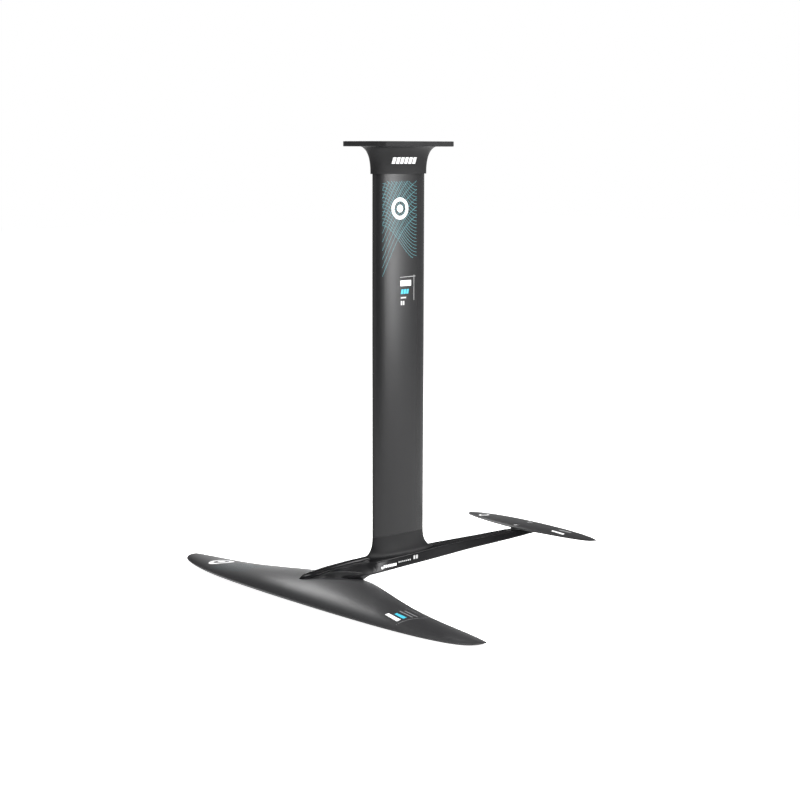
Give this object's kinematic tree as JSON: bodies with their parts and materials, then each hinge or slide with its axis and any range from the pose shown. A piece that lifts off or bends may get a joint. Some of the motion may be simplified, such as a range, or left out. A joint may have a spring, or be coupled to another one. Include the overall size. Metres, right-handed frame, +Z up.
{
  "type": "hydrofoil",
  "caption": "Board hydrofoil: slotted top plate with flared collar, lens-section mast, slim fuselage, swept front wing and small rear stabiliser.",
  "frame": {"origin": "centre of the top plate's board face", "axes": "+X forward towards the nose and front wing, +Y to port, +Z up towards the board"},
  "size_m": [0.7136, 0.906, 0.8812],
  "materials": {
    "cast_black": "satin black cast aluminium",
    "anodised_mast": "matte black anodised extrusion",
    "anodised_fuselage": "matte black anodised",
    "carbon_skin": "matte carbon laminate",
    "carbon_moulding": "matte carbon moulding",
    "foam_core": "closed-cell foam",
    "stainless": "stainless steel",
    "seal_rubber": "rubber gasket",
    "shim_plastic": "moulded nylon"
  },
  "bodies": {
    "root": {"top_plate": "cast_black", "mast": "anodised_mast", "mast_head_seal": "seal_rubber", "mast_foot_seal": "seal_rubber", "mast_foot": "cast_black", "mast_head_inserts": "stainless", "mast_foot_inserts": "stainless", "plate_screws": "stainless", "fuselage_mast_screws": "stainless", "fuselage": "anodised_fuselage", "front_wing_top_skin": "carbon_skin", "front_wing_bottom_skin": "carbon_skin", "front_wing_core": "foam_core", "front_wing_saddle": "carbon_moulding", "front_wing_screws": "stainless", "front_wing_screw_cups": "stainless", "fuselage_front_inserts": "stainless", "stabiliser_top_skin": "carbon_skin", "stabiliser_bottom_skin": "carbon_skin", "stabiliser_core": "foam_core", "stabiliser_shim": "shim_plastic", "stabiliser_screws": "stainless", "stabiliser_screw_cups": "stainless", "fuselage_rear_inserts": "stainless"}
  },
  "joints": []
}
